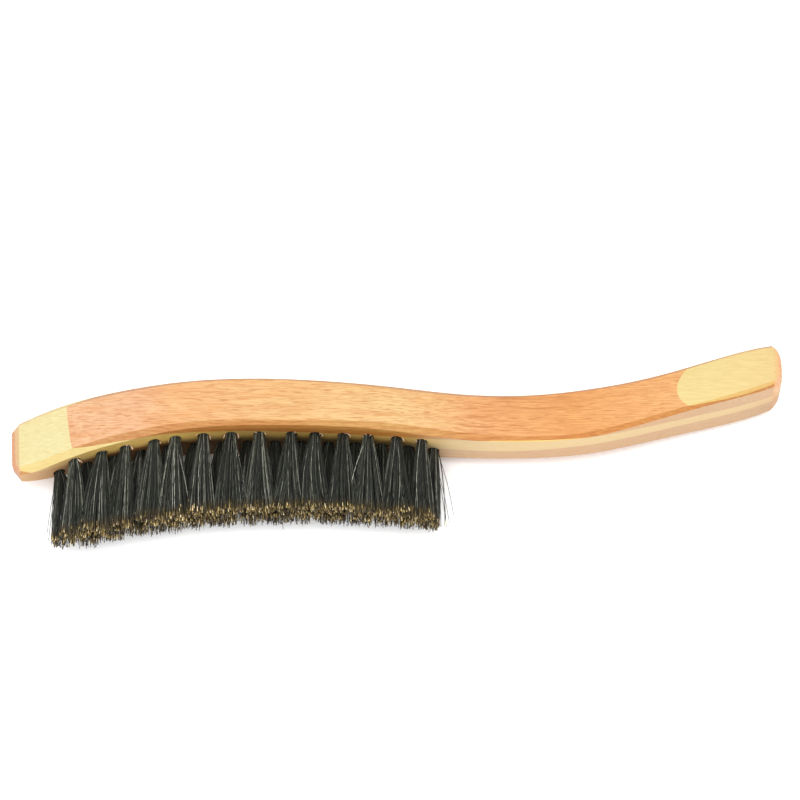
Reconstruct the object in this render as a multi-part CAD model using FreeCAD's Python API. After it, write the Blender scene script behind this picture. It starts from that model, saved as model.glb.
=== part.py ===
import FreeCAD, Part
import os

from FreeCAD import Vector

# Hand brush with a curved handle, cut from a laminated board and set with two staggered rows of tufts.
# Frame, in millimetres: the brush lies on its side. +X runs from the nose to the butt of the handle,
# the tufts point to -Y, and +Z is up out of the side that faces up. The origin is the centre of the
# footprint, on the surface that the brush lies on.

# ---- driving dimensions ----
BOARD = 22.0                # thickness of the laminated board, which is left whole in the middle of the head
MIDDLE = BOARD / 2          # height of the plane that the block is symmetric about

NOSE_X = -131.3             # tip of the nose
BUTT_X = 130.8              # end of the handle

# Cross-sections of the block. Each is an upright rectangle with its long edges chamfered:
# x, y of the tufted face, y of the back, half thickness at the crest, chamfer, crown of the side faces,
# and how much thicker than the middle the block is at its back edge, and thinner at its front edge
SECTIONS = [
    (-128.9, -17.0, 2.4, 4.8, 2.2, 0.05, 0.25),
    (-118.3, -14.9, 6.8, 6.5, 2.25, 0.05, 0.3),
    (-104.7, -10.2, 10.4, 8.7, 2.2, 0.05, 0.3),
    (-87.9, -5.8, 13.7, 9.9, 2.0, 0.05, 0.15),
    (-70.5, -2.8, 15.7, 10.7, 1.6, 0.05, 0),
    (-46.5, -1.8, 16.3, 11.1, 1.35, 0.05, 0),
    (-22.6, -2.2, 15.2, 11.1, 1.5, 0.05, 0),
    (-2.1, -3.4, 13.7, 10.3, 1.8, 0.05, 0),
    (15.0, -5.2, 12.4, 8.8, 1.9, 0.1, 0),
    (35.6, -6.3, 11.7, 7.5, 1.5, 0.2, 0),
    (56.1, -5.5, 13.1, 7.3, 1.3, 0.3, 0),
    (76.6, -1.6, 16.3, 8.2, 1.5, 0.35, 0),
    (97.1, 4.4, 21.3, 9.4, 1.3, 0.35, 0),
    (114.2, 9.2, 26.7, 10.1, 1.4, 0.3, 0),
    (127.6, 13.9, 30.2, 10.0, 1.7, 0.3, 0),
]
NOSE_TIP = (NOSE_X, -13.2, -0.7, 2.8, 0.8, 0.05, 0.15)
NOSE_SLANT = 1.4            # how far the tufted side of the first section leans in from the nose
TIP_SLANT = 0.8             # the same for the tip
BUTT_ROUNDING = [
    (129.6, 15.6, 29.4, 9.0, 2.3, 0.3, 0),
    (BUTT_X, 18.4, 27.0, 6.6, 1.8, 0.2, 0),
]

# Lay-up. Heights of the three glue lines where they show in the tufted face:
# x, z under the core, z over the core, z under the cream ply
GLUE_LINES = [
    (-135.0, 15.6, 21.8, 29.0),
    (-118.0, 13.15, 19.35, 26.55),
    (-104.0, 12.2, 18.4, 25.6),
    (-88.0, 12.3, 18.5, 25.7),
    (-70.0, 11.1, 17.3, 24.5),
    (-46.0, 10.2, 16.4, 23.6),
    (-14.0, 9.1, 15.3, 22.5),
    (2.0, 9.5, 15.7, 22.9),
    (18.0, 10.3, 16.8, 24.0),
    (40.0, 10.5, 17.1, 24.3),
    (58.0, 11.5, 16.9, 23.9),
    (74.0, 11.2, 16.1, 22.4),
    (90.0, 10.1, 14.5, 20.55),
    (104.0, 9.6, 13.7, 19.95),
    (135.0, 9.2, 13.0, 19.9),
]

# The columns of GLUE_LINES
UNDER_CORE = 1
OVER_CORE = 2
OVER_RED = 3

# Tufts
HOLE_R = 2.0
HOLE_DEPTH = 9.5
PITCH = 9.1
UPPER_COUNT = 14
LOWER_COUNT = 15
UPPER_FIRST_X = -110.4      # centre of the first hole of the upper row, if it were evenly drilled
# How far each hole is from its even place along the row
UPPER_DRIFT = [0.8, 0.9, -0.3, 0.2, -1.7, -1.4, -1.0, -0.7, 1.2, 0.1, 0.5, -0.2, 0.4, -0.2]
LOWER_DRIFT = [0.0] * (LOWER_COUNT - 1) + [-0.7]
ROW_SHARE = 0.285           # distance of each row from the middle plane over the half thickness there
TUFT_TIP_R = 2.9            # radius that a tuft spreads to at its trimmed end
FLARE_GAP = 0.3             # the flare starts this far clear of the face

# Trimmed ends of the tufts: (x, y)
TRIM = [
    (-122.0, -40.4),
    (-111.0, -40.4),
    (-100.0, -38.5),
    (-85.0, -35.5),
    (-70.0, -32.8),
    (-50.0, -31.4),
    (-25.0, -31.0),
    (-5.0, -32.2),
    (8.0, -33.6),
    (20.0, -34.7),
]

# Anchor: a short flat wire across the bottom of each hole, with the folded filaments round it
ANCHOR_LENGTH = 5.0
ANCHOR_WIDTH = 1.6
ANCHOR_THICK = 0.4
ANCHOR_INSET = 1.4          # from the bottom of the hole to the anchor

REACH = 300.0               # longer than the brush, for slabs that are trimmed to it


def blend(table, x):
    """Height of a smooth curve through the (x, value) pairs of a table."""
    last = len(table) - 1
    i = 0
    while i < last - 1 and x > table[i + 1][0]:
        i += 1

    def slope(k):
        a = table[max(k - 1, 0)]
        b = table[min(k + 1, last)]
        return (b[1] - a[1]) / (b[0] - a[0])

    (x0, v0), (x1, v1) = table[i], table[i + 1]
    width = x1 - x0
    t = (x - x0) / width
    rise = t * t * (3 - 2 * t)
    lean_in = t * (1 - t) ** 2 * width * slope(i)
    lean_out = t * t * (t - 1) * width * slope(i + 1)
    return v0 + (v1 - v0) * rise + lean_in + lean_out


def face_y(x):
    """Where the tufted face is at x."""
    return blend([(s[0], s[1]) for s in SECTIONS], x)


def half_thickness(x):
    return blend([(s[0], s[3]) for s in SECTIONS], x)


def section_wire(x, y_face, y_back, half, chamfer, crown, wedge, slant=0):
    """Chamfered rectangle across the block, with its two side faces slightly crowned. slant is how far
    its tufted side lies in +X from its back."""
    face_z = half - crown - wedge
    back_z = half - crown + wedge
    y_middle = (y_face + y_back) / 2

    def point(y, z):
        lean = slant * (y_back - y) / (y_back - y_face)
        return Vector(x + lean, y, MIDDLE + z)

    top_face = point(y_face + chamfer, face_z)
    top_crest = point(y_middle, half)
    top_back = point(y_back - chamfer, back_z)
    back_top = point(y_back, back_z - chamfer)
    back_low = point(y_back, chamfer - back_z)
    low_back = point(y_back - chamfer, -back_z)
    low_crest = point(y_middle, -half)
    low_face = point(y_face + chamfer, -face_z)
    face_low = point(y_face, chamfer - face_z)
    face_top = point(y_face, face_z - chamfer)
    edges = [
        Part.Arc(top_face, top_crest, top_back).toShape(),
        Part.makeLine(top_back, back_top),
        Part.makeLine(back_top, back_low),
        Part.makeLine(back_low, low_back),
        Part.Arc(low_back, low_crest, low_face).toShape(),
        Part.makeLine(low_face, face_low),
        Part.makeLine(face_low, face_top),
        Part.makeLine(face_top, top_face),
    ]
    return Part.Wire(edges)


def make_block():
    """The whole wooden block in one piece, before the lay-up and the holes divide it."""
    first = section_wire(*SECTIONS[0], NOSE_SLANT)
    body = Part.makeLoft([first] + [section_wire(*s) for s in SECTIONS[1:]], True, False)
    nose = Part.makeLoft([section_wire(*NOSE_TIP, TIP_SLANT), first], True, True)
    butt = Part.makeLoft([section_wire(*s) for s in [SECTIONS[-1]] + BUTT_ROUNDING], True, False)
    block = body.fuse([nose, butt])
    board = Part.makeBox(2 * REACH, 2 * REACH, BOARD, Vector(-REACH, -REACH, 0))
    return block.common(board)


def slab(low_line, high_line):
    """Everything between two of the glue lines, given by their places in GLUE_LINES, or open at None."""
    def curve(column):
        spline = Part.BSplineCurve()
        spline.interpolate([Vector(row[0], -REACH, row[column]) for row in GLUE_LINES])
        return spline.toShape()

    x0 = GLUE_LINES[0][0]
    x1 = GLUE_LINES[-1][0]
    if low_line is None:
        low = Part.makeLine(Vector(x0, -REACH, -BOARD), Vector(x1, -REACH, -BOARD))
    else:
        low = curve(low_line)
    if high_line is None:
        high = Part.makeLine(Vector(x0, -REACH, 2 * BOARD), Vector(x1, -REACH, 2 * BOARD))
    else:
        high = curve(high_line)
    left = Part.makeLine(low.firstVertex().Point, high.firstVertex().Point)
    right = Part.makeLine(low.lastVertex().Point, high.lastVertex().Point)
    outline = Part.Wire(Part.sortEdges([low, right, high, left])[0])
    return Part.Face(outline).extrude(Vector(0, 2 * REACH, 0))


def tuft_places():
    """(name, x, z) of every tuft, row by row."""
    places = []
    for i in range(UPPER_COUNT):
        x = UPPER_FIRST_X + i * PITCH + UPPER_DRIFT[i]
        places.append((f"upper_tuft_{i + 1:02d}", x, MIDDLE + ROW_SHARE * half_thickness(x)))
    for i in range(LOWER_COUNT):
        x = UPPER_FIRST_X + (i - 0.5) * PITCH + LOWER_DRIFT[i]
        places.append((f"lower_tuft_{i + 1:02d}", x, MIDDLE - ROW_SHARE * half_thickness(x)))
    return places


def make_anchor(x, z):
    """Flat wire that lies along the row, with its ends bitten into the wood beside the hole."""
    y = face_y(x) + HOLE_DEPTH - ANCHOR_INSET - ANCHOR_WIDTH
    corner = Vector(x - ANCHOR_LENGTH / 2, y, z - ANCHOR_THICK / 2)
    return Part.makeBox(ANCHOR_LENGTH, ANCHOR_WIDTH, ANCHOR_THICK, corner)


def make_hole(x, z):
    """The drilled hole, run out past the face."""
    bottom = Vector(x, face_y(x) + HOLE_DEPTH, z)
    return Part.makeCylinder(HOLE_R, HOLE_DEPTH + 4 * HOLE_R, bottom, Vector(0, -1, 0))


def make_tuft(x, z):
    """Envelope of one bunch of filaments: a plug that fills the hole, and a flare down to the trim."""
    bottom_y = face_y(x) + HOLE_DEPTH
    mouth_y = min(face_y(x - HOLE_R), face_y(x + HOLE_R)) - FLARE_GAP
    plug = Part.makeCylinder(HOLE_R, bottom_y - mouth_y, Vector(x, bottom_y, z), Vector(0, -1, 0))
    exposed = mouth_y - blend(TRIM, x)
    flare = Part.makeCone(HOLE_R, TUFT_TIP_R, exposed, Vector(x, mouth_y, z), Vector(0, -1, 0))
    return plug.fuse(flare).cut(make_anchor(x, z))


def make_parts():
    places = tuft_places()
    holes = [make_hole(x, z) for _, x, z in places]
    anchors = [make_anchor(x, z) for _, x, z in places]
    block = make_block().cut(holes).cut(anchors)
    parts = {
        "butt_cream_ply": block.common(slab(OVER_RED, None)),
        "upper_red_ply": block.common(slab(OVER_CORE, OVER_RED)),
        "core_cream_ply": block.common(slab(UNDER_CORE, OVER_CORE)),
        "lower_red_ply": block.common(slab(None, UNDER_CORE)),
    }
    for name, x, z in places:
        parts[name] = make_tuft(x, z)
    parts["upper_row_anchors"] = Part.makeCompound(anchors[:UPPER_COUNT])
    parts["lower_row_anchors"] = Part.makeCompound(anchors[UPPER_COUNT:])
    return parts


def main():
    parts = make_parts()
    whole = Part.makeCompound(list(parts.values())).optimalBoundingBox(False, False)
    shift = Vector(-whole.Center.x, -whole.Center.y, 0)
    print("shift", round(shift.x, 3), round(shift.y, 3), "size", whole.XLength, whole.YLength, whole.ZLength)
    os.makedirs("parts", exist_ok=True)
    for name, shape in parts.items():
        shape.translate(shift)
        shape.exportStep(f"parts/{name}.step")
        print(name, len(shape.Solids), "solids", round(shape.Volume, 1), "mm3", shape.isValid())


main()
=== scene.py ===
import math
import random

import bpy
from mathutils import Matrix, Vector


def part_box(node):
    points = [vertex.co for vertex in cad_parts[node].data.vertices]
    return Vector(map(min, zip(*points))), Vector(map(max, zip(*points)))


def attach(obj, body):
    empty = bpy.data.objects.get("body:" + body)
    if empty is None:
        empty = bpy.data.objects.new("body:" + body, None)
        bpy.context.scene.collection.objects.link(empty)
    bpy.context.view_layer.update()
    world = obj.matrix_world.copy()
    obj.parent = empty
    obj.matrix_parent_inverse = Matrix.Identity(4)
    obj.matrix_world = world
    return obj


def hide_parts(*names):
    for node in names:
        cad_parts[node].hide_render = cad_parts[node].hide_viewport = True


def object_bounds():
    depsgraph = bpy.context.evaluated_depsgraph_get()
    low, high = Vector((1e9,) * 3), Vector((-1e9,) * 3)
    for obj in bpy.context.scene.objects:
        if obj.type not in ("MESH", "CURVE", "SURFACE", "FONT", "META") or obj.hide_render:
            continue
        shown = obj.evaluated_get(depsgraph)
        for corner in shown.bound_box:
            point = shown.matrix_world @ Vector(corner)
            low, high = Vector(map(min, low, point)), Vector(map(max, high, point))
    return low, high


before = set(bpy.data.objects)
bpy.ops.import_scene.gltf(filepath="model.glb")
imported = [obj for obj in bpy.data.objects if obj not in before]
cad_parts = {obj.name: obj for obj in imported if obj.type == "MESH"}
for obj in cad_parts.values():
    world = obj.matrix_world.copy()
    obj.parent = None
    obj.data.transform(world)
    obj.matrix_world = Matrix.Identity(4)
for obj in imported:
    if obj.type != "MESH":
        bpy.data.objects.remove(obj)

CAD_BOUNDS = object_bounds()
MM = 0.001

# The laminated block: its plies, and the box round them all
PLIES = ["butt_cream_ply", "upper_red_ply", "core_cream_ply", "lower_red_ply"]
ply_boxes = [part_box(n) for n in PLIES]
BLOCK_LOW = Vector([min(b[0][i] for b in ply_boxes) for i in range(3)])
BLOCK_HIGH = Vector([max(b[1][i] for b in ply_boxes) for i in range(3)])


# ---- colours and node helpers ----

LIT = 2.06      # radiance of a white surface that faces the lights
GLOSS = 0.036   # what the surface's own reflection adds to it


def tone(r, g, b):
    """Base colour that shows as this 0-255 colour on a surface that faces the lights."""
    out = []
    for v in (r, g, b):
        v = v / 255
        v = v / 12.92 if v <= 0.04045 else ((v + 0.055) / 1.055) ** 2.4
        out.append(max(v - GLOSS, 0.0) / LIT)
    return (*out, 1.0)


def put(tree, socket, value):
    """Give a socket a value, or link another node's output to it."""
    if isinstance(value, bpy.types.NodeSocket):
        tree.links.new(value, socket)
    else:
        socket.default_value = value


def stretch(tree, vector, factors):
    """The vector with its X, Y and Z multiplied by the factors."""
    n = tree.nodes.new("ShaderNodeVectorMath")
    n.operation = "MULTIPLY"
    put(tree, n.inputs[0], vector)
    n.inputs[1].default_value = factors
    return n.outputs[0]


def noise(tree, vector, detail=3.0, rough=0.55, distortion=0.0):
    n = tree.nodes.new("ShaderNodeTexNoise")
    put(tree, n.inputs["Vector"], vector)
    n.inputs["Scale"].default_value = 1.0
    n.inputs["Detail"].default_value = detail
    n.inputs["Roughness"].default_value = rough
    n.inputs["Distortion"].default_value = distortion
    return n.outputs[0]


def span(tree, value, low, high, to_low=0.0, to_high=1.0):
    """value from low..high, eased, to to_low..to_high."""
    n = tree.nodes.new("ShaderNodeMapRange")
    n.interpolation_type = "SMOOTHSTEP"
    put(tree, n.inputs[0], value)
    for i, v in enumerate((low, high, to_low, to_high)):
        n.inputs[i + 1].default_value = v
    return n.outputs[0]


def calc(tree, operation, a, b=0.0):
    n = tree.nodes.new("ShaderNodeMath")
    n.operation = operation
    put(tree, n.inputs[0], a)
    put(tree, n.inputs[1], b)
    return n.outputs[0]


def split(tree, vector):
    """The X, Y and Z of a vector."""
    n = tree.nodes.new("ShaderNodeSeparateXYZ")
    put(tree, n.inputs[0], vector)
    return n.outputs


def mix(tree, factor, a, b, way="MIX"):
    n = tree.nodes.new("ShaderNodeMix")
    n.data_type = "RGBA"
    n.blend_type = way
    put(tree, n.inputs[0], factor)
    put(tree, n.inputs[6], a)
    put(tree, n.inputs[7], b)
    return n.outputs[2]


def tinted(tree, colour, tint):
    return mix(tree, 1.0, colour, tint, "MULTIPLY")


def ramp(tree, value, stops):
    n = tree.nodes.new("ShaderNodeValToRGB")
    elements = n.color_ramp.elements
    while len(elements) < len(stops):
        elements.new(0.5)
    for e, (at, colour) in zip(elements, stops):
        e.position = at
        e.color = colour
    put(tree, n.inputs[0], value)
    return n.outputs[0]


def bump(tree, height, strength, distance):
    n = tree.nodes.new("ShaderNodeBump")
    n.inputs["Strength"].default_value = strength
    n.inputs["Distance"].default_value = distance
    put(tree, n.inputs["Height"], height)
    return n.outputs[0]


def new_material(name):
    m = bpy.data.materials.new(name)
    m.use_nodes = True
    return m, m.node_tree, m.node_tree.nodes["Principled BSDF"]


def object_mm(tree):
    """Position in the frame, in millimetres."""
    n = tree.nodes.new("ShaderNodeTexCoord")
    return stretch(tree, n.outputs["Object"], (1000, 1000, 1000))


def along(tree, mm):
    """0 at the nose to 1 at the butt."""
    n = tree.nodes.new("ShaderNodeMapRange")
    put(tree, n.inputs[0], split(tree, mm)[0])
    n.inputs[1].default_value = BLOCK_LOW.x / MM
    n.inputs[2].default_value = BLOCK_HIGH.x / MM
    return n.outputs[0]


def new_object(name, verts, faces, material):
    mesh = bpy.data.meshes.new(name)
    mesh.from_pydata(verts, [], faces)
    mesh.materials.append(material)
    mesh.update()
    made = bpy.data.objects.new(name, mesh)
    bpy.context.scene.collection.objects.link(made)
    return made


# ---- wood ----

# In all these tables a place is a share of the block's length, from the nose to the butt.
# Painted shade that the tufts cast on the drilled face, darkest in the middle of the head
TUFT_SHADE = [
    (0.0, (0.85, 0.85, 0.85, 1)),
    (0.10, (0.9, 0.9, 0.9, 1)),
    (0.18, (1.0, 0.95, 0.95, 1)),
    (0.24, (0.78, 0.76, 0.76, 1)),
    (0.30, (0.52, 0.50, 0.50, 1)),
    (0.38, (0.50, 0.48, 0.48, 1)),
    (0.45, (0.62, 0.58, 0.58, 1)),
    (0.53, (0.85, 0.82, 0.82, 1)),
    (0.58, (1.0, 1.0, 1.0, 1)),
]
# The bare tufted side is yellower at the nose
NOSE_WARMTH = [
    (0.10, (1.06, 0.95, 0.74, 1)),
    (0.30, (1.0, 1.0, 1.0, 1)),
]
# The chamfers are darker towards the butt
CHAMFER_TOWARDS_BUTT = [
    (0.0, (1.0, 1.0, 1.0, 1)),
    (0.82, (1.0, 1.0, 1.0, 1)),
    (0.92, (0.90, 0.85, 0.80, 1)),
]
# Painted light and shade on the end grain: lighter at the butt, darker at the nose
END_PAINTED_LIGHT = [
    (0.0, (0.95, 0.88, 0.88, 1)),
    (0.5, (1.14, 1.10, 1.10, 1)),
]
RED_STOPS = [
    (0.0, tone(250, 200, 154)),
    (0.165, tone(253, 200, 156)),
    (0.21, tone(254, 198, 142)),
    (0.36, tone(254, 206, 143)),
    (0.50, tone(255, 212, 149)),
    (0.57, tone(255, 199, 138)),
    (0.60, tone(254, 189, 130)),
    (0.72, tone(251, 179, 113)),
    (0.86, tone(255, 193, 129)),
    (1.0, tone(253, 206, 152)),
]
CREAM_STOPS = [
    (0.0, tone(250, 236, 176)),
    (0.12, tone(252, 240, 184)),
    (0.2, tone(252, 238, 176)),
    (0.7, tone(254, 230, 158)),
    (0.88, tone(253, 229, 158)),
    (1.0, tone(255, 222, 156)),
]

# painted tint for the faces turned away from the lamps, against the greenish cast of their shade
BACK_SHADE_TINT = (1.0, 0.91, 0.80, 1)
# painted shade: cools the tufted side where it has no tufts
BARE_SHADE_TINT = (0.8, 0.9, 1.0, 1)
PAINTED_ROW_SHADE = (0.025, 0.017, 0.007, 1)            # painted shade between the two rows of tufts
NOSE_SHADE = (0.10, 0.058, 0.025, 1)        # on the tufted side just behind the nose
ROW_SHADE_HEIGHTS = (14.5, 10.5)                # mm: painted shade darkens the drilled face from the first to the second
RIM_HEIGHTS = (17.0, 19.6)                  # and takes the chamfer's tint in place of the drilled face's painted shade over the upper row
END_SHADE_HEIGHTS = (8.0, 17.0)                   # mm: painted shade on the end grain, darkest at the first height and lightest at the second

# stops are the plain side's colours from nose to butt: the timber's own tone, and on the red ply also
# painted light and shade in lighter and darker stretches that follow the slopes of the face. grain and fleck
# are its darker fibres and pores.
# chamfer and drilled multiply the plain colour on those faces with painted shade, and end multiplies it on
# the end grain. bare is the colour of the tufted side where it has no tufts, dulled as painted shade. A
# smaller fleck_from gives more flecks, strength is how far the grain stands out, and offset, in mm, gives
# each timber a grain of its own.
RED = {
    "stops": RED_STOPS,
    "grain": tone(240, 164, 102),
    "fleck": tone(212, 134, 78),
    "chamfer": (0.76, 0.63, 0.38, 1),
    "drilled": (0.88, 0.64, 0.28, 1),
    "end": (0.92, 0.90, 0.95, 1),
    "bare": (0.388, 0.254, 0.150, 1),
    "fleck_from": 0.60,
    "strength": 0.9,
    "offset": (37.0, 11.0, 23.0),
}
CREAM = {
    "stops": CREAM_STOPS,
    "grain": tone(250, 222, 148),
    "fleck": tone(240, 204, 128),
    "chamfer": (1.0, 0.88, 0.66, 1),
    "drilled": (0.98, 0.76, 0.42, 1),
    "end": (0.92, 0.76, 0.78, 1),
    "bare": (0.480, 0.325, 0.173, 1),
    "fleck_from": 0.66,
    "strength": 0.5,
    "offset": (74.0, 22.0, 46.0),
}


def pattern(tree, place, lengthways, across, detail, rough=0.55, distortion=0.0):
    """Noise drawn out along X, at so many cycles per mm lengthways and across."""
    return noise(tree, stretch(tree, place, (lengthways, across, across)), detail, rough, distortion)


def grain(tree, timber, mm, length):
    """The plain colour of the timber, its fibres and its flecks."""
    offset = tree.nodes.new("ShaderNodeVectorMath")
    offset.operation = "ADD"
    put(tree, offset.inputs[0], mm)
    offset.inputs[1].default_value = timber["offset"]
    place = offset.outputs[0]
    strength = timber["strength"]

    broad = pattern(tree, place, 0.03, 0.12, 2.0)
    streak = pattern(tree, place, 0.05, 0.45, 3.0, 0.5, 0.3)
    fibre = pattern(tree, place, 0.17, 2.3, 3.0)
    fine = pattern(tree, place, 0.4, 4.5, 2.0)
    pores = pattern(tree, place, 0.20, 2.6, 1.0, 0.5)
    vein = pattern(tree, place, 0.035, 1.2, 2.0)

    colour = ramp(tree, length, timber["stops"])
    colour = mix(tree, span(tree, broad, 0.35, 0.7, 0.0, 0.3 * strength), colour, timber["grain"])
    colour = mix(tree, span(tree, streak, 0.48, 0.7, 0.0, 0.4 * strength), colour, timber["grain"])
    lighter = mix(tree, 0.3, colour, (1.0, 1.0, 1.0, 1), "SOFT_LIGHT")
    colour = mix(tree, span(tree, fibre, 0.55, 0.35, 0.0, strength), colour, lighter)
    colour = mix(tree, span(tree, fibre, 0.50, 0.66, 0.0, 0.42 * strength), colour, timber["grain"])
    fleck = span(tree, pores, timber["fleck_from"], timber["fleck_from"] + 0.06, 0.0, 0.5)
    colour = mix(tree, fleck, colour, timber["fleck"])
    colour = mix(tree, span(tree, fine, 0.56, 0.72, 0.0, 0.3 * strength), colour, timber["fleck"])
    grip = calc(tree, "MULTIPLY", span(tree, length, 0.54, 0.60), span(tree, length, 0.78, 0.68))
    veins = calc(tree, "MULTIPLY", grip, span(tree, vein, 0.53, 0.66, 0.0, 0.6 * strength))
    return mix(tree, veins, colour, timber["fleck"]), fibre, fleck


def drilled_face(tree, timber, plain, length, height):
    """The tufted side between the tufts, in painted shade: darkest in the middle of the head and low down
    between the two rows.
    """
    painted_shade = tinted(tree, timber["drilled"], ramp(tree, length, TUFT_SHADE))
    painted_shade = mix(tree, span(tree, height, *RIM_HEIGHTS, 0.0, 0.95), painted_shade, timber["chamfer"])
    return mix(tree, span(tree, height, *ROW_SHADE_HEIGHTS, 0.0, 0.84), tinted(tree, plain, painted_shade), PAINTED_ROW_SHADE)


def bare_face(tree, timber, plain, length):
    """The tufted side where it has no tufts, at the nose and along the grip, in painted shade: cooled and
    dulled, and darker just behind the nose.
    """
    colour = mix(tree, 0.72, tinted(tree, plain, BARE_SHADE_TINT), timber["bare"])
    colour = tinted(tree, colour, ramp(tree, length, NOSE_WARMTH))
    shade = span(tree, length, 0.02, 0.10, 0.0, 0.42)
    shade = calc(tree, "MULTIPLY", shade, span(tree, length, 0.5, 0.2))
    return mix(tree, shade, colour, NOSE_SHADE)


def wood(name, timber):
    """Lacquered timber with its grain along X. The surface's normal tells the faces apart, and gives the
    chamfers, the tufted side, the back and the end grain their painted light and shade.
    """
    m, t, shader = new_material(name)
    mm = object_mm(t)
    length = along(t, mm)
    height = split(t, mm)[2]
    plain, fibre, fleck = grain(t, timber, mm, length)
    normal = split(t, t.nodes.new("ShaderNodeNewGeometry").outputs["Normal"])
    end = span(t, calc(t, "ABSOLUTE", normal[0]), 0.25, 0.55)

    edge = span(t, calc(t, "ABSOLUTE", normal[1]), 0.25, 0.72)
    edge = calc(t, "MULTIPLY", edge, calc(t, "SUBTRACT", 1.0, end))
    edge = calc(t, "MULTIPLY", edge, span(t, normal[1], 0.97, 0.80))
    # painted shade: the chamfer tint darkens the chamfers
    chamfer = tinted(t, timber["chamfer"], ramp(t, length, CHAMFER_TOWARDS_BUTT))
    colour = mix(t, edge, plain, tinted(t, plain, chamfer))

    # painted tint on the faces turned away from the lamps, where shade turns the plain colour greenish
    back = span(t, normal[1], 0.5, 0.9)
    colour = mix(t, back, colour, tinted(t, colour, BACK_SHADE_TINT))

    front = span(t, normal[1], -0.76, -0.97)
    no_tufts = calc(t, "MAXIMUM", span(t, length, 0.50, 0.58), span(t, length, 0.12, 0.05))
    drilled = drilled_face(t, timber, plain, length, height)
    colour = mix(t, front, colour, mix(t, no_tufts, drilled, bare_face(t, timber, plain, length)))

    # the end grain's own tint, with painted light and shade: lighter at the butt and higher up, darker at
    # the nose and lower down
    end_colour_and_light = tinted(t, timber["end"], ramp(t, length, END_PAINTED_LIGHT))
    end_colour_and_light = tinted(t, end_colour_and_light, span(t, height, *END_SHADE_HEIGHTS, 0.80, 1.08))
    colour = mix(t, end, colour, tinted(t, colour, end_colour_and_light))

    put(t, shader.inputs["Base Color"], colour)
    put(t, shader.inputs["Roughness"], span(t, fibre, 0.3, 0.7, 0.42, 0.58))
    shader.inputs["Specular IOR Level"].default_value = 0.3
    relief = calc(t, "SUBTRACT", fibre, fleck)
    put(t, shader.inputs["Normal"], bump(t, relief, 0.35, 0.08 * MM))
    return m


red_wood = wood("red_wood", RED)
cream_wood = wood("cream_wood", CREAM)


# ---- filaments ----

UNDER_Z = (BLOCK_LOW.z + BLOCK_HIGH.z) / 2       # the plane between the two rows
HOLE_R = 2.0 * MM
HOLE_DEPTH = 9.5 * MM
ROOT_DEPTH = 6.2 * MM       # the filaments are modelled from just in front of the anchor
ROOT_R = 1.56 * MM          # the filaments' own centres stay inside this radius in the hole
STRANDS = 190
SPREAD_X = 5.7 * MM         # how far a tuft spreads at its trimmed end, along its row
SPREAD_Z = 3.3 * MM         # and across the two rows
SIDES = 5
STEPS = [-1.0, 0.0, 0.12, 0.3, 0.52, 0.76, 0.965, 1.0]      # rings: -1 is the root, 0 the mouth of the hole
TAPER = 0.12                # share of its thickness that a filament loses from the mouth to its cut end
FLARES = (0.9, 1.1, 1.4, 1.7)       # how much wider the cutters left a filament's end
GOLDEN_ANGLE = 2.39996      # turns each root round the hole from the last, so that they fill it evenly
OUTER_CLUMPS = 6            # clumps in which the filaments lean together, round the tuft
INNER_CLUMPS = 4            # and in its middle
INNER_SHARE = 0.55          # of the tuft's radius
FAN_LOWER = 0.60            # strand_path's power for the lower tufts, which fan out sooner
FAN_UPPER = 0.84            # than the upper ones
STRAY_R = 0.11 * MM
STRAY_END = 0.8             # a stray's end is worn thin instead of flared

# Colours from the darkest filament to the palest
BODY_STOPS = [
    (0.0, (0.005, 0.006, 0.004, 1)),
    (0.40, (0.015, 0.017, 0.012, 1)),
    (0.65, (0.043, 0.048, 0.036, 1)),
    (0.84, (0.115, 0.122, 0.094, 1)),
    (0.96, (0.25, 0.255, 0.20, 1)),
    (1.0, (0.42, 0.42, 0.35, 1)),
]
# Colours from the dullest cut end to the brightest
CUT_STOPS = [
    (0.0, (0.016, 0.011, 0.003, 1)),
    (0.30, (0.036, 0.023, 0.005, 1)),
    (0.54, (0.092, 0.060, 0.014, 1)),
    (0.74, (0.21, 0.142, 0.038, 1)),
    (0.90, (0.46, 0.34, 0.14, 1)),
    (1.0, (0.82, 0.68, 0.40, 1)),
]
WORN_BODY = (0.010, 0.012, 0.009, 1)
WARM_BODY = (0.052, 0.036, 0.013, 1)        # just above the cut end
SHADED_BODY = (0.005, 0.005, 0.004, 1)
DULL_CUT = (0.024, 0.016, 0.006, 1)
SHADED_CUT = (0.010, 0.008, 0.006, 1)
CUT_FROM = 0.932            # where the first golden ends begin, as a share of the filament
CUT_RANGE = 0.032           # and how far on the last ones do


def rescatter(tree, pick, factor):
    """Another random number for each filament, made from its own."""
    return calc(tree, "FRACT", calc(tree, "MULTIPLY", pick, factor))


def filament_body(tree, pick, run, worn, height):
    colour = ramp(tree, pick, BODY_STOPS)
    colour = mix(tree, span(tree, worn, 0.44, 0.64, 0.0, 0.8), colour, WORN_BODY)
    colour = mix(tree, span(tree, run, 0.85, 0.94, 0.0, 0.7), colour, WARM_BODY)
    under = span(tree, height, UNDER_Z / MM + 4.0, UNDER_Z / MM - 4.0)
    return mix(tree, calc(tree, "MULTIPLY", under, 0.6), colour, SHADED_BODY)


def filament_end(tree, pick, mm, height):
    colour = ramp(tree, rescatter(tree, pick, 17.31), CUT_STOPS)
    patches = noise(tree, stretch(tree, mm, (0.17, 0.4, 0.22)), 2.0)
    colour = mix(tree, span(tree, patches, 0.48, 0.62, 0.0, 0.78), colour, DULL_CUT)
    under = span(tree, height, UNDER_Z / MM - 2.4, UNDER_Z / MM - 5.6)
    return mix(tree, calc(tree, "MULTIPLY", under, 0.80), colour, SHADED_CUT)


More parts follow.
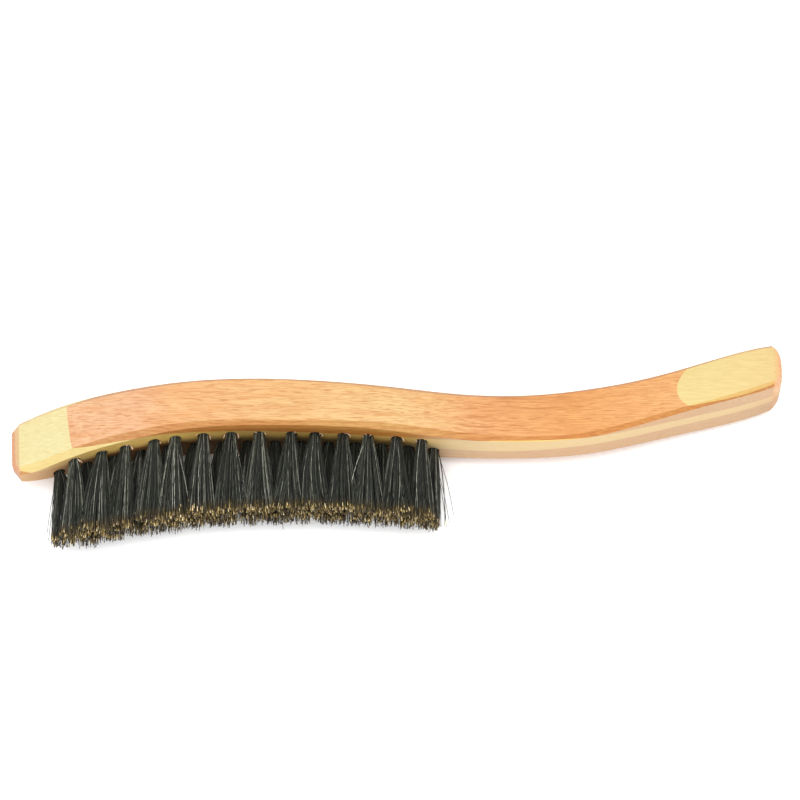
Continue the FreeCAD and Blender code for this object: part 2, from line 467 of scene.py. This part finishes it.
def filament_material():
    """Dark filaments with golden cut ends. In the strand map, u is one random number for each filament
    and v runs from 0 at the mouth of its hole to 1 at its cut end."""
    m, t, shader = new_material("bristle")
    uv = t.nodes.new("ShaderNodeUVMap")
    uv.uv_map = "strand"
    strand = split(t, uv.outputs[0])
    pick, run = strand[0], strand[1]
    mm = object_mm(t)
    height = split(t, mm)[2]
    place = t.nodes.new("ShaderNodeCombineXYZ")
    put(t, place.inputs[0], calc(t, "MULTIPLY", pick, 900.0))
    put(t, place.inputs[1], calc(t, "MULTIPLY", run, 9.0))
    worn = noise(t, place.outputs[0], 2.0)
    start = calc(t, "ADD", calc(t, "MULTIPLY", rescatter(t, pick, 91.7), CUT_RANGE), CUT_FROM)
    past = span(t, calc(t, "SUBTRACT", run, start), 0.0, 0.008)
    colour = mix(t, past, filament_body(t, pick, run, worn, height), filament_end(t, pick, mm, height))
    put(t, shader.inputs["Base Color"], colour)
    put(t, shader.inputs["Roughness"], span(t, worn, 0.3, 0.7, 0.35, 0.55))
    shader.inputs["Specular IOR Level"].default_value = 0.3
    return m


bristle = filament_material()


def strand_path(root, tip, bow, y_mouth, y_tip, power=1.0):
    """Centres of a filament's rings. root and tip are X and Z from the middle of the hole, and bow is how
    far the middle of the filament stands off. power under 1 fans it out early."""
    points = [Vector((root[0], y_mouth + ROOT_DEPTH, root[1]))]
    for s in STEPS[1:]:
        ease = s ** power
        side = math.sin(math.pi * s)
        x = root[0] + (tip[0] - root[0]) * ease + bow[0] * side
        z = root[1] + (tip[1] - root[1]) * ease + bow[1] * side
        points.append(Vector((x, y_mouth + (y_tip - y_mouth) * s, z)))
    return points


def add_tube(data, place, path, thick, flare, pick, turn):
    """One filament, closed at both ends. thick is its radius, flare is what its cut end multiplies that by,
    and turn is the angle of its first corner."""
    verts, faces, strand_uv = data
    base = len(verts)
    for s, p in zip(STEPS, path):
        radius = thick * (flare if s == STEPS[-1] else 1.0 - TAPER * max(s, 0))
        for j in range(SIDES):
            b = turn + math.tau * j / SIDES
            x = place[0] + p.x + radius * math.cos(b)
            z = place[1] + p.z + radius * math.sin(b)
            verts.append((x, p.y, z))
            strand_uv.append((pick, max(s, 0.0)))
    last = base + (len(STEPS) - 1) * SIDES
    for ring in range(base, last, SIDES):
        for j in range(SIDES):
            k = (j + 1) % SIDES
            faces.append((ring + j, ring + k, ring + k + SIDES, ring + j + SIDES))
    faces.append(tuple(base + j for j in reversed(range(SIDES))))
    faces.append(tuple(last + j for j in range(SIDES)))


def make_clumps(rnd):
    """How far each clump's tips and middles stand off their places, along X and Z."""
    clumps = []
    for _ in range(OUTER_CLUMPS + INNER_CLUMPS):
        tip = (rnd.gauss(0, 0.55) * MM, rnd.gauss(0, 0.35) * MM)
        bow = (rnd.gauss(0, 0.4) * MM, rnd.gauss(0, 0.3) * MM)
        clumps.append((tip, bow))
    return clumps


def add_strand(data, rnd, k, tuft):
    """Filament k of a tuft: most are trimmed level, and a few are short, long or bent aside."""
    clumps, lean, reach = tuft["clumps"], tuft["lean"], tuft["reach"]
    r = math.sqrt((k + 0.5) / STRANDS)
    a = k * GOLDEN_ANGLE + rnd.uniform(-0.25, 0.25)
    share = (a % math.tau) / math.tau
    if r > INNER_SHARE:
        clump_tip, clump_bow = clumps[int(share * OUTER_CLUMPS)]
    else:
        clump_tip, clump_bow = clumps[OUTER_CLUMPS + int(share * INNER_CLUMPS)]
    x = r * math.cos(a)
    z = r * math.sin(a)
    fan = rnd.uniform(0.84, 1.04)
    side = reach[0] if x < 0 else reach[1]
    tip_x = x * fan * SPREAD_X * side + clump_tip[0] + lean[0] + rnd.gauss(0, 0.32) * MM
    tip_z = z * fan * SPREAD_Z + clump_tip[1] + lean[1] + rnd.gauss(0, 0.28) * MM
    y_end = tuft["y_tip"] + rnd.gauss(0, 0.42) * MM
    chance = rnd.random()
    if chance < 0.05:
        y_end += rnd.uniform(0.8, 3.0) * MM
    elif chance < 0.09:
        tip_x += rnd.gauss(0, 2.2) * MM
        tip_z += rnd.gauss(0, 0.8) * MM
    elif chance > 0.965:
        y_end -= rnd.uniform(0.3, 1.3) * MM
    bow = (clump_bow[0] + rnd.gauss(0, 0.18) * MM, clump_bow[1] + rnd.gauss(0, 0.16) * MM)
    root = (x * ROOT_R, z * ROOT_R)
    path = strand_path(root, (tip_x, tip_z), bow, tuft["y_mouth"], y_end, tuft["power"])
    flare = rnd.choice(FLARES)
    pick = rnd.random()
    thick = rnd.uniform(0.10, 0.14) * (1.0 - 0.3 * pick) * MM       # the paler ones are finer
    add_tube(data, tuft["place"], path, thick, flare, pick, rnd.uniform(0, math.tau))


def make_tuft(node, index, lean, reach, strays):
    """reach is how far the tuft spreads to its -X and +X side, over SPREAD_X. Each stray is one long
    filament that has come loose: its tip along X and Z from the hole, and up from the trim, in mm, and
    its place between the darkest and the palest filaments."""
    rnd = random.Random(1000 + index)
    low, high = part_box(node)
    place = ((low.x + high.x) / 2, (low.z + high.z) / 2)
    y_mouth = high.y - HOLE_DEPTH
    y_tip = low.y
    tuft = {
        "place": place,
        "y_mouth": y_mouth,
        "y_tip": y_tip,
        "power": FAN_LOWER if node.startswith("lower") else FAN_UPPER,
        "clumps": make_clumps(rnd),
        "lean": lean,
        "reach": reach,
    }
    data = ([], [], [])
    for k in range(STRANDS):
        add_strand(data, rnd, k, tuft)
    for dx, dz, up, pick in strays:
        root = (rnd.uniform(-1, 1) * ROOT_R * 0.7, rnd.uniform(0, 1) * ROOT_R * 0.7)
        path = strand_path(root, (dx * MM, dz * MM), (0.1 * dx * MM, 0), y_mouth, y_tip + up * MM)
        add_tube(data, place, path, STRAY_R, STRAY_END, pick, 0.0)
    verts, faces, strand_uv = data
    filaments = new_object(node + "_filaments", verts, faces, bristle)
    mesh = filaments.data
    layer = mesh.uv_layers.new(name="strand")
    for loop in mesh.loops:
        layer.data[loop.index].uv = strand_uv[loop.vertex_index]
    mesh.polygons.foreach_set("use_smooth", [len(f) == 4 for f in faces])
    mesh.update()
    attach(filaments, "root")
    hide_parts(node)


tuft_nodes = sorted(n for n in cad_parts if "_tuft_" in n)
# The tufts at the ends of the rows don't spread like the others, and don't lean
REACH = {
    "lower_tuft_01": (0.05, 1.5),
    "upper_tuft_01": (0.65, 1.0),
    "lower_tuft_15": (1.0, 0.38),
    "upper_tuft_14": (1.0, 0.9),
}
STRAYS = {
    "lower_tuft_15": [(6.6, 1.0, 3.6, 0.3), (5.2, 0.0, 1.2, 0.6), (4.2, -1.5, 0.5, 0.2)],
    "upper_tuft_12": [(-5.6, 2.6, 9.0, 1.0)],
    "upper_tuft_05": [(5.4, 2.4, 5.0, 0.97)],
    "upper_tuft_08": [(4.8, 2.0, -1.4, 0.9)],
    "lower_tuft_09": [(3.2, -2.8, -2.2, 0.5)],
    "lower_tuft_01": [(-2.9, 0.0, 3.0, 0.6), (-2.4, -1.5, 1.4, 0.2), (-1.2, -1.0, -1.2, 0.4)],
}
lean_rnd = random.Random(5)
for i, node in enumerate(tuft_nodes):
    lean = (lean_rnd.gauss(0, 0.3) * MM, lean_rnd.gauss(0, 0.2) * MM)
    if node in REACH:
        lean = (0.0, 0.0)
    make_tuft(node, i, lean, REACH.get(node, (1.0, 1.0)), STRAYS.get(node, []))


# ---- torn fibres at the hole rims ----

def splinter_material():
    m, t, shader = new_material("torn_fibre")
    mm = object_mm(t)
    grain = noise(t, stretch(t, mm, (1.5, 4.0, 4.0)), 2.0)
    # bare wood, paler than the lacquered face, and made lighter still as a painted highlight so that the
    # fibres show in the tufts' shade
    put(t, shader.inputs["Base Color"], mix(t, grain, (0.36, 0.22, 0.14, 1), (0.66, 0.48, 0.35, 1)))
    put(t, shader.inputs["Roughness"], span(t, grain, 0.3, 0.7, 0.6, 0.8))
    shader.inputs["Specular IOR Level"].default_value = 0.2
    return m


def add_sliver(data, path, thick):
    """Four-sided sliver along a path, thin at both ends."""
    verts, faces = data
    base = len(verts)
    last = len(path) - 1
    for k, p in enumerate(path):
        r = thick * (0.35 + 0.65 * math.sin(math.pi * k / last))
        verts.append((p.x - r, p.y, p.z))
        verts.append((p.x, p.y - r, p.z + 0.4 * r))
        verts.append((p.x + r, p.y, p.z))
        verts.append((p.x, p.y + r, p.z - 0.4 * r))
    for k in range(last):
        ring = base + 4 * k
        for j in range(4):
            n = (j + 1) % 4
            faces.append((ring + j, ring + n, ring + n + 4, ring + j + 4))
    end = base + 4 * last
    faces.append((base + 3, base + 2, base + 1, base))
    faces.append((end, end + 1, end + 2, end + 3))


def rim_point(centre, y, angle, radius):
    return Vector((centre[0] + radius * math.cos(angle), y, centre[1] + radius * math.sin(angle)))


def add_burr(data, rnd, centre, y_rim):
    """A fibre that curls along the rim and lifts off it."""
    a = math.radians(rnd.choice((rnd.uniform(0, 60), rnd.uniform(0, 60), rnd.uniform(120, 180))))
    sweep = math.radians(rnd.uniform(10, 34)) * rnd.choice((-1, 1))
    lift = rnd.uniform(0.5, 1.4) * MM
    path = []
    for k in range(6):
        s = k / 5
        path.append(rim_point(centre, y_rim - lift * s ** 1.3, a + sweep * s, HOLE_R + (0.1 + 0.5 * s) * MM))
    add_sliver(data, path, rnd.uniform(0.16, 0.30) * MM)


def add_splinter(data, rnd, centre, y_rim):
    """A fibre that stands off the rim."""
    a = math.radians(rnd.choice((rnd.uniform(10, 80), rnd.uniform(100, 170))))
    length = rnd.uniform(0.5, 1.4) * MM
    drop = rnd.uniform(0.3, 0.8)
    path = []
    for k in range(5):
        s = k / 4
        radius = HOLE_R + length * 0.7 * math.sin(1.4 * s)
        path.append(rim_point(centre, y_rim - drop * length * s, a, radius))
    add_sliver(data, path, rnd.uniform(0.10, 0.18) * MM)


def make_rim_fibres(nodes):
    """Torn fibres that the drill left round the upper halves of these tufts' holes."""
    rnd = random.Random(77)
    data = ([], [])
    for node in nodes:
        low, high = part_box(node)
        centre = ((low.x + high.x) / 2, (low.z + high.z) / 2)
        y_rim = high.y - HOLE_DEPTH + 0.1 * MM
        for _ in range(rnd.choice((1, 2, 3))):
            add_burr(data, rnd, centre, y_rim)
        for _ in range(rnd.choice((1, 2, 3))):
            add_splinter(data, rnd, centre, y_rim)
    fibres = new_object("rim_fibres", *data, splinter_material())
    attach(fibres, "root")


make_rim_fibres([n for n in tuft_nodes if n.startswith("upper")])


# ---- anchors ----

def steel_material():
    m, t, shader = new_material("anchor_wire")
    mm = object_mm(t)
    drawn = noise(t, stretch(t, mm, (0.4, 9.0, 9.0)), 3.0)
    put(t, shader.inputs["Base Color"], mix(t, drawn, (0.42, 0.42, 0.42, 1), (0.62, 0.61, 0.60, 1)))
    put(t, shader.inputs["Roughness"], span(t, drawn, 0.3, 0.7, 0.28, 0.45))
    shader.inputs["Metallic"].default_value = 1.0
    put(t, shader.inputs["Normal"], bump(t, drawn, 0.3, 0.02 * MM))
    return m


anchor_wire = steel_material()

finishes = {
    "butt_cream_ply": cream_wood,
    "core_cream_ply": cream_wood,
    "upper_red_ply": red_wood,
    "lower_red_ply": red_wood,
    "upper_row_anchors": anchor_wire,
    "lower_row_anchors": anchor_wire,
}
for name, finish in finishes.items():
    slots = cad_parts[name].data.materials
    slots.clear()
    slots.append(finish)


# ---- floor, light and camera ----

def floor_material():
    m, t, shader = new_material("studio_floor")
    mm = object_mm(t)
    soft = noise(t, stretch(t, mm, (0.01, 0.01, 0.01)), 2.0)
    put(t, shader.inputs["Base Color"], mix(t, soft, (0.93, 0.93, 0.93, 1), (0.95, 0.95, 0.95, 1)))
    shader.inputs["Roughness"].default_value = 0.9
    shader.inputs["Specular IOR Level"].default_value = 0.1
    return m


FLOOR_HALF = 3.0
FLOOR_GAP = 0.05 * MM       # the floor lies this far under the object, so that the two don't share a plane
floor_z = CAD_BOUNDS[0][2] - FLOOR_GAP
corners = [(-1, -1), (1, -1), (1, 1), (-1, 1)]
floor_points = [(a * FLOOR_HALF, b * FLOOR_HALF, floor_z) for a, b in corners]
floor = new_object("floor", floor_points, [(0, 1, 2, 3)], floor_material())


def area_light(name, place, size, watts):
    """Soft light that points at the origin."""
    data = bpy.data.lights.new(name, "AREA")
    data.shape = "RECTANGLE"
    data.size, data.size_y = size
    data.energy = watts
    light = bpy.data.objects.new(name, data)
    light.location = place
    light.rotation_euler = (-Vector(place)).to_track_quat("-Z", "Y").to_euler()
    bpy.context.scene.collection.objects.link(light)


area_light("key", place=(-0.15, -0.05, 1.3), size=(1.2, 1.0), watts=9.0)
area_light("front_fill", place=(-0.2, -1.1, 0.8), size=(1.6, 0.8), watts=10.8)

world = bpy.data.worlds.new("studio")
bpy.context.scene.world = world
world.use_nodes = True
background = world.node_tree.nodes["Background"]
background.inputs["Color"].default_value = (1.0, 1.0, 1.0, 1)
background.inputs["Strength"].default_value = 1.32

ELEVATION = math.radians(60)
DISTANCE = 1.1
VIEW_WIDTH = 273.6 * MM     # what the picture's width takes in at the aim
SENSOR = 36.0
AIM = Vector((0.59 * MM, BLOCK_HIGH.y - 16.75 * MM, BLOCK_LOW.z + 11 * MM))      # the middle of the picture
camera_data = bpy.data.cameras.new("camera")
camera_data.sensor_width = SENSOR
camera_data.lens = SENSOR * DISTANCE / VIEW_WIDTH
camera_data.clip_end = 20.0
camera = bpy.data.objects.new("camera", camera_data)
camera.location = AIM + DISTANCE * Vector((0, -math.cos(ELEVATION), math.sin(ELEVATION)))
camera.rotation_euler = (math.pi / 2 - ELEVATION, 0, 0)
bpy.context.scene.collection.objects.link(camera)
bpy.context.scene.camera = camera
bpy.context.scene.view_settings.view_transform = "Standard"
